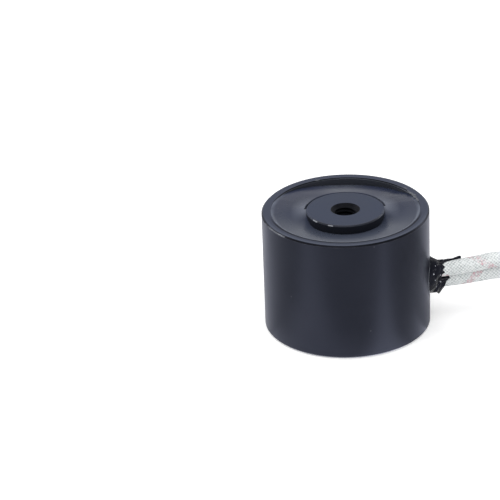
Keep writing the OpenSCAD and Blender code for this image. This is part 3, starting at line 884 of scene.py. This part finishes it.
def buildPotCoat():
    # satin on the wall, duller on the ground rim, rubbed through to the metal at the lead hole's edge and paler on the
    # rim's edges; painted shade on the outer and inner chamfers and along the rim's near inner edge, painted light on
    # the bore's wall, and painted highlights on the rim's near outer edge, its left chamfer and the lead hole's edge
    edges = [(24.5, 37, 0.25), (25, 36.5, 0.2), (22.3, 37, 0.25), (24.8, 0.2, 0.3)]
    material, tree, shader, place = turnedCoat("potCoat", coat["dark"], coat["light"], coat["rough"], edges, 0.06, coat["gloss"], 0.4, coat["metal"])
    split = tree.nodes.new("ShaderNodeSeparateXYZ")
    tree.links.new(place, split.inputs[0])
    face = spread(tree, split.outputs["Z"], 36.9 * mm, 36.98 * mm, 0, 1)
    layer(tree, shader, face, (0.046, 0.053, 0.078), coat["faceRough"])
    radius, height = axisDistance(tree, place)
    # painted shade: the outer chamfer is painted near black all round
    outer = spread(tree, radius, 24.42 * mm, 24.5 * mm, 0, 1)
    low = spread(tree, height, 36.5 * mm, 36.56 * mm, 0, 1)
    chamfer = mathNode(tree, "MULTIPLY", mathNode(tree, "MULTIPLY", outer, low), mathNode(tree, "SUBTRACT", 1, face))
    layer(tree, shader, mathNode(tree, "MULTIPLY", chamfer, 0.8), (0.002, 0.002, 0.003))
    # painted shade on the inner chamfer, and painted light on the bore's wall above the resin
    inside = mathNode(tree, "MULTIPLY", spread(tree, radius, 22.3 * mm, 22.34 * mm, 1, 0), spread(tree, height, 34 * mm, 34.2 * mm, 0, 1))
    layer(tree, shader, inside, (0.003, 0.0035, 0.005))
    bore = mathNode(tree, "MULTIPLY", inside, spread(tree, radius, 22.02 * mm, 22.05 * mm, 1, 0))
    layer(tree, shader, bore, (0.07, 0.076, 0.092))
    # on the near side of the rim's face: a painted shade line by the resin and a painted highlight line along the outer
    # edge
    nearSide = spread(tree, split.outputs["Y"], -9 * mm, -3 * mm, 1, 0)
    onFace = mathNode(tree, "MULTIPLY", face, nearSide)
    layer(tree, shader, mathNode(tree, "MULTIPLY", onFace, mathNode(tree, "COMPARE", radius, 22.62 * mm, 0.32 * mm)), (0.006, 0.007, 0.011))
    layer(tree, shader, mathNode(tree, "MULTIPLY", onFace, mathNode(tree, "COMPARE", radius, 24.14 * mm, 0.34 * mm)), (0.07, 0.08, 0.108))
    aside = mathNode(tree, "POWER", split.outputs["Y"], 2)
    above = mathNode(tree, "POWER", mathNode(tree, "SUBTRACT", split.outputs["Z"], sealant["holeHeight"] * mm), 2)
    fromHole = mathNode(tree, "SQRT", mathNode(tree, "ADD", aside, above))
    # the lead hole's edge: rubbed to the metal, and paler still as a painted highlight; round it a paler, rougher halo
    ring = mathNode(tree, "COMPARE", fromHole, 5.95 * mm, 0.24 * mm)
    outside = mathNode(tree, "GREATER_THAN", split.outputs["X"], 0.02)
    patchy = spread(tree, noiseNode(tree, place, 500, 3, 0.6), 0.35, 0.6, 0.35, 1)
    edge = mathNode(tree, "MULTIPLY", mathNode(tree, "MULTIPLY", ring, outside), patchy)
    halo = mathNode(tree, "MULTIPLY", spread(tree, fromHole, 6.1 * mm, 7.4 * mm, 1, 0), outside)
    layer(tree, shader, halo, (0.06, 0.063, 0.074), 0.75)
    layer(tree, shader, edge, coat["bareAndHighlight"], 0.7)
    # painted highlight: a pale streak along the rim's outer chamfer on the left
    paintedHighlightStreak = spotShare(tree, place, [(196 + 1.2 * k, 24.9, 36.6, 0.32) for k in range(22)])
    layer(tree, shader, mathNode(tree, "MULTIPLY", mathNode(tree, "MULTIPLY", paintedHighlightStreak, patchy), 0.2), coat["bareAndHighlight"])
    return material


potCoat = buildPotCoat()


def buildPoleCoat():
    # the same coat, duller, with painted shade down the hole, on the side wall and along the near edge, and painted
    # glints on the chamfer
    edges = [(11.4, 37, 0.25), (11.7, 36.7, 0.2)]
    material, tree, shader, place = turnedCoat("poleCoat", coat["faceDark"], coat["faceLight"], coat["faceRough"], edges, 0.1, 0.22, 0.5)
    radius, height = axisDistance(tree, place)
    # painted shade down the hole
    layer(tree, shader, spread(tree, radius, 4.3 * mm, 4.42 * mm, 1, 0), (0.002, 0.002, 0.002))
    # painted shade on the pole's side wall below its top face
    layer(tree, shader, spread(tree, height, 36.6 * mm, 36.72 * mm, 1, 0), (0.009, 0.0105, 0.015))
    split = tree.nodes.new("ShaderNodeSeparateXYZ")
    tree.links.new(place, split.inputs[0])
    # painted shade: a dark ring along the top's near edge
    nearEdgeShade = mathNode(tree, "MULTIPLY", spread(tree, radius, 11.1 * mm, 11.25 * mm, 0, 1), spread(tree, split.outputs["Y"], -8 * mm, -3 * mm, 1, 0))
    layer(tree, shader, mathNode(tree, "MULTIPLY", nearEdgeShade, 0.85), (0.006, 0.007, 0.011))
    # painted highlights: pale glints on the chamfer
    paintedGlints = spotShare(tree, place, [(-147 + 1.5 * k, 11.65, 36.82, 0.26) for k in range(6)] + [(-118 + 1.5 * k, 11.65, 36.82, 0.24) for k in range(5)])
    layer(tree, shader, mathNode(tree, "MULTIPLY", paintedGlints, 0.6), coat["bareAndHighlight"])
    return material


poleCoat = buildPoleCoat()


def buildResinFinish():
    # satin, with painted light towards the front and behind the pole, and painted highlights along the meniscus at the
    # rim and on the collar beside the pole
    material, tree, shader, place, grain = grainMaterial("resinFinish", (0.015, 0.02, 0.042), (0.02, 0.025, 0.05), 0.29, 0.05, 120.0, 700.0, 0.05, 0.0, 0.06, (0.09, 0.09, 0.1), 0.0, 0.15)
    radius, height = axisDistance(tree, place)
    split = tree.nodes.new("ShaderNodeSeparateXYZ")
    tree.links.new(place, split.inputs[0])
    patchy = spread(tree, noiseNode(tree, place, 240, 3, 0.6), 0.35, 0.6, 0.35, 1)
    # painted light: paler towards the front
    layer(tree, shader, spread(tree, split.outputs["Y"], -12 * mm, 6 * mm, 0.85, 0), (0.052, 0.061, 0.086))
    # painted light behind the pole
    middle = spread(tree, mathNode(tree, "ABSOLUTE", split.outputs["X"]), 2 * mm, 9 * mm, 1, 0)
    paintedLightBehindPole = mathNode(tree, "MULTIPLY", middle, spread(tree, split.outputs["Y"], 10 * mm, 14 * mm, 0, 1))
    layer(tree, shader, mathNode(tree, "MULTIPLY", paintedLightBehindPole, 0.8), (0.068, 0.075, 0.098))
    # painted highlight along the meniscus at the rim
    meniscusHighlight = mathNode(tree, "MULTIPLY", spread(tree, radius, 20.9 * mm, 21.95 * mm, 0, 1), spread(tree, height, 36.35 * mm, 36.65 * mm, 0, 1))
    layer(tree, shader, mathNode(tree, "MULTIPLY", mathNode(tree, "MULTIPLY", meniscusHighlight, patchy), 0.7), (0.112, 0.13, 0.175))
    # painted highlight on the collar beside the pole
    crest = mathNode(tree, "MULTIPLY", spread(tree, radius, 12.3 * mm, 16.5 * mm, 1, 0), spread(tree, height, 35.6 * mm, 36.5 * mm, 0, 1))
    beside = spread(tree, mathNode(tree, "ABSOLUTE", split.outputs["Y"]), 3 * mm, 11 * mm, 1, 0)
    layer(tree, shader, mathNode(tree, "MULTIPLY", mathNode(tree, "MULTIPLY", crest, beside), 0.75), (0.135, 0.148, 0.185))
    return material


resinFinish = buildResinFinish()
beadFinish = grainMaterial("beadFinish", (0.045, 0.05, 0.062), (0.09, 0.095, 0.11), 0.35, 0.06, 500.0, 1200.0, 0.1, 0.0, 0.2)[0]
# painted shade: the pole's coat in the thread, made near black
shadedThreadFinish = grainMaterial("shadedThreadFinish", (0.0026, 0.003, 0.004), (0.0085, 0.009, 0.0115), 0.5, 0.08, 300.0, 1500.0, 0.1, 0.0, 0.1, None, 0.0, 0.04)[0]


def buildSealantFinish():
    # glossy and wrinkled, with pale specks painted on as glints
    material, tree, shader, place, grain = grainMaterial("sealantFinish", (0.003, 0.0036, 0.0075), (0.006, 0.007, 0.013), 0.16, 0.05, 500.0, 900.0, 0.85, 0.0, 0.2, (0.75, 0.78, 0.86), 0.0, 0.1)
    addBump(tree, shader, noiseNode(tree, place, 620, 2, 0.5), 0.7, 0.0005)
    return material


sealantFinish = buildSealantFinish()
tieFinish = grainMaterial("tieFinish", (0.012, 0.012, 0.013), (0.02, 0.02, 0.022), 0.42, 0.06, 200.0, 1600.0, 0.05, 0.0, 0.12)[0]
formerFinish = grainMaterial("formerFinish", (0.66, 0.63, 0.55), (0.74, 0.71, 0.63), 0.5, 0.06, 120.0, 1500.0, 0.1, 0.0, 0.1)[0]
tapeFinish = grainMaterial("tapeFinish", (0.6, 0.4, 0.05), (0.72, 0.5, 0.08), 0.28, 0.05, 150.0, 1300.0, 0.04, 0.0, 0.1, None, 0.4)[0]
sleeveFinish = grainMaterial("sleeveFinish", (0.7, 0.68, 0.58), (0.8, 0.78, 0.68), 0.7, 0.06, 500.0, 2200.0, 0.1, 0.0, 0.3)[0]
shrinkFinish = grainMaterial("shrinkFinish", (0.012, 0.012, 0.013), (0.02, 0.02, 0.021), 0.45, 0.06, 300.0, 1500.0, 0.05, 0.0, 0.15)[0]
tinFinish = grainMaterial("tinFinish", (0.55, 0.55, 0.56), (0.72, 0.72, 0.73), 0.3, 0.1, 700.0, 2400.0, 0.2, 0.95, 0.25)[0]


def buildWireFinish():
    # enamelled turns, one line of wire above the other
    material, tree, shader, place, grain = grainMaterial("wireFinish", (0.34, 0.1, 0.03), (0.5, 0.17, 0.05), 0.28, 0.06, 200.0, 1200.0, 0.02, 0.85, 0.1)
    split = tree.nodes.new("ShaderNodeSeparateXYZ")
    tree.links.new(place, split.inputs[0])
    turns = mathNode(tree, "ABSOLUTE", mathNode(tree, "SINE", mathNode(tree, "MULTIPLY", split.outputs["Z"], math.pi / (0.6 * mm))))
    addBump(tree, shader, turns, 0.6, 0.0002)
    return material


wireFinish = buildWireFinish()

braid = {"white": (0.93, 0.96, 0.96), "shade": (0.26, 0.31, 0.32), "tracer": (0.7, 0.33, 0.4), "carriers": 14, "pitch": 1.1}


def buildBraidFinish(name, tracer):
    material, tree, shader, place = newMaterial(name)
    chart = tree.nodes.new("ShaderNodeUVMap")
    chart.uv_map = "alongLead"
    weave = useGroup(tree, leadBraid, {"Map": chart.outputs[0]}, Carriers=braid["carriers"], Pitch=braid["pitch"], Tracer=tracer)
    soil = spread(tree, noiseNode(tree, place, 260, 3, 0.6), 0.4, 0.7, 0, 0.14)
    colour = mixColour(tree, soil, braid["white"], braid["shade"])
    fade = spread(tree, noiseNode(tree, place, 520, 4, 0.7), 0.38, 0.6, 0.05, 0.8)
    colour = mixColour(tree, mathNode(tree, "MULTIPLY", weave.outputs["Tracer Mask"], fade), colour, braid["tracer"])
    # painted shade in the gaps between the yarns, stronger in places
    uneven = spread(tree, noiseNode(tree, place, 1100, 2, 0.5), 0.35, 0.65, 0.25, 1.5)
    gaps = mathNode(tree, "MULTIPLY", weave.outputs["Gaps"], uneven, clamp=True)
    colour = mixColour(tree, gaps, colour, braid["shade"])
    tree.links.new(colour, shader.inputs["Base Color"])
    tree.links.new(spread(tree, noiseNode(tree, place, 1500, 2, 0.5), 0.3, 0.7, 0.6, 0.78), shader.inputs["Roughness"])
    shader.inputs["Sheen Weight"].default_value = 0.15
    addBump(tree, shader, weave.outputs["Height"], 0.9, 0.00018)
    addBump(tree, shader, weave.outputs["Fibres"], 0.3, 0.00003)
    return material


frontBraid = buildBraidFinish("frontBraid", 5)
rearBraid = buildBraidFinish("rearBraid", 1)
print("finishes mixed")


# ---------- dress the pieces ----------

nodeFinishes = {
    "pot": potCoat, "core": poleCoat, "coil_former": formerFinish, "winding": wireFinish, "winding_tape": tapeFinish,
    "start_tail": wireFinish, "finish_tail": wireFinish, "start_tail_sleeve": sleeveFinish, "finish_tail_sleeve": sleeveFinish,
    "joint_a": tinFinish, "joint_b": tinFinish, "joint_sleeve_a": shrinkFinish, "joint_sleeve_b": shrinkFinish,
    "strands_a": tinFinish, "strands_b": tinFinish, "resin_filling": resinFinish, "exit_sealant": sealantFinish,
    "lead_a": frontBraid, "lead_b": rearBraid, "lead_a_coil": frontBraid, "lead_b_coil": rearBraid,
    "lead_a_end": tinFinish, "lead_b_end": tinFinish, "lead_tie": tieFinish,
}
for name, finish in nodeFinishes.items():
    for materialSlot in nodes[name].material_slots:
        materialSlot.material = finish

pieceFinishes = [
    (frontLead, frontBraid, "lead_braid", ["lead_a", "lead_a_coil"]),
    (rearLead, rearBraid, "lead_braid", ["lead_b", "lead_b_coil"]),
    (frontEnd, tinFinish, "tinned_strands", ["lead_a_end"]),
    (rearEnd, tinFinish, "tinned_strands", ["lead_b_end"]),
    (coilTie, tieFinish, "tie_plastic", ["lead_tie"]),
    (resinFilling, resinFinish, "resin", ["resin_filling"]),
    (resinBeads, beadFinish, "resin", []),
    (poleThread, shadedThreadFinish, "pole_coat", []),
    (leadSealant, sealantFinish, "sealant", ["exit_sealant"]),
]
for piece, finish, slotName, replaced in pieceFinishes:
    piece.data.materials.clear()
    piece.data.materials.append(finish)
    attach(piece, "root")
    if replaced:
        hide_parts(*replaced)

print("pieces dressed")


# ---------- floor, lights and background ----------

studio = {
    "floorSize": 6,
    "lamps": [
        # name, place, size, power
        ("overheadLamp", (-0.1, -0.2, 1.2), (0.9, 0.9), 6.8),
        ("leftStrip", (-0.97, -0.7, 0.3), (0.22, 0.7), 3.6),
        ("rightStrip", (0.94, -0.76, 0.3), (0.18, 0.7), 3.2),
        ("leftBackLamp", (-0.95, 0.41, 0.62), (0.4, 0.4), 3.0),
        ("rightBackLamp", (0.95, 0.6, 0.4), (0.3, 0.6), 2.4),
    ],
    "target": (0, 0, 0.02),
    "ambient": 0.58,
    # light panels that only mirror rays see: direction of the wall that shows one, half width and strength
    "panels": [(25, 8, 2.4), (-27, 20, 1.4)],
}


def addFloor():
    deselectAll()
    bpy.ops.mesh.primitive_plane_add(size=studio["floorSize"], location=(0, 0, -0.0001))
    floor = bpy.context.object
    floor.name = "studioFloor"
    material, tree, shader, place = newMaterial("floorPaper")
    tone = spread(tree, noiseNode(tree, place, 40, 3, 0.5), 0.3, 0.7, 0.86, 0.9)
    tree.links.new(tone, shader.inputs["Base Color"])
    shader.inputs["Roughness"].default_value = 0.8
    shader.inputs["Specular IOR Level"].default_value = 0.1
    rays = tree.nodes.new("ShaderNodeLightPath")
    seen = mathNode(tree, "MAXIMUM", mathNode(tree, "MAXIMUM", rays.outputs["Is Camera Ray"], rays.outputs["Is Glossy Ray"]), rays.outputs["Is Transmission Ray"])
    shader.inputs["Emission Color"].default_value = (1, 1, 1, 1)
    split = tree.nodes.new("ShaderNodeSeparateXYZ")
    tree.links.new(place, split.inputs[0])
    glow = None
    for degrees, width, strength in studio["panels"]:
        wall, away = math.radians(degrees), math.radians(2 * degrees)
        startX, startY = 25 * mm * math.sin(wall), -25 * mm * math.cos(wall)
        acrossX = mathNode(tree, "MULTIPLY", mathNode(tree, "SUBTRACT", split.outputs["X"], startX), math.cos(away))
        acrossY = mathNode(tree, "MULTIPLY", mathNode(tree, "SUBTRACT", split.outputs["Y"], startY), math.sin(away))
        offset = mathNode(tree, "ABSOLUTE", mathNode(tree, "ADD", acrossX, acrossY))
        panel = spread(tree, offset, width * 0.4 * mm, width * 1.2 * mm, strength, 0)
        glow = panel if glow is None else mathNode(tree, "ADD", glow, panel)
    front = mathNode(tree, "LESS_THAN", split.outputs["Y"], -8 * mm)
    mirrored = mathNode(tree, "MULTIPLY", mathNode(tree, "MULTIPLY", glow, front), rays.outputs["Is Glossy Ray"])
    tree.links.new(mathNode(tree, "MULTIPLY_ADD", seen, 0.35, mirrored), shader.inputs["Emission Strength"])
    floor.data.materials.append(material)


def addLamps():
    for name, place, size, power in studio["lamps"]:
        data = bpy.data.lights.new(name, "AREA")
        data.shape = "RECTANGLE"
        data.size, data.size_y = size
        data.energy = power
        lamp = bpy.data.objects.new(name, data)
        scene.collection.objects.link(lamp)
        lamp.location = place
        aim = Vector(studio["target"]) - Vector(place)
        lamp.rotation_euler = aim.to_track_quat("-Z", "Y").to_euler()


def addBackground():
    world = bpy.data.worlds.new("whiteStudio")
    scene.world = world
    world.use_nodes = True
    tree = world.node_tree
    tree.nodes.clear()
    rays = tree.nodes.new("ShaderNodeLightPath")
    seen = mathNode(tree, "MAXIMUM", mathNode(tree, "MAXIMUM", rays.outputs["Is Camera Ray"], rays.outputs["Is Glossy Ray"]), rays.outputs["Is Transmission Ray"])
    level = mathNode(tree, "MULTIPLY_ADD", seen, 1 - studio["ambient"], studio["ambient"])
    background = tree.nodes.new("ShaderNodeBackground")
    background.inputs["Color"].default_value = (1, 1, 1, 1)
    tree.links.new(level, background.inputs["Strength"])
    output = tree.nodes.new("ShaderNodeOutputWorld")
    tree.links.new(background.outputs[0], output.inputs[0])


addFloor()
addLamps()
addBackground()
scene.view_settings.view_transform = "Standard"
print("studio lit")
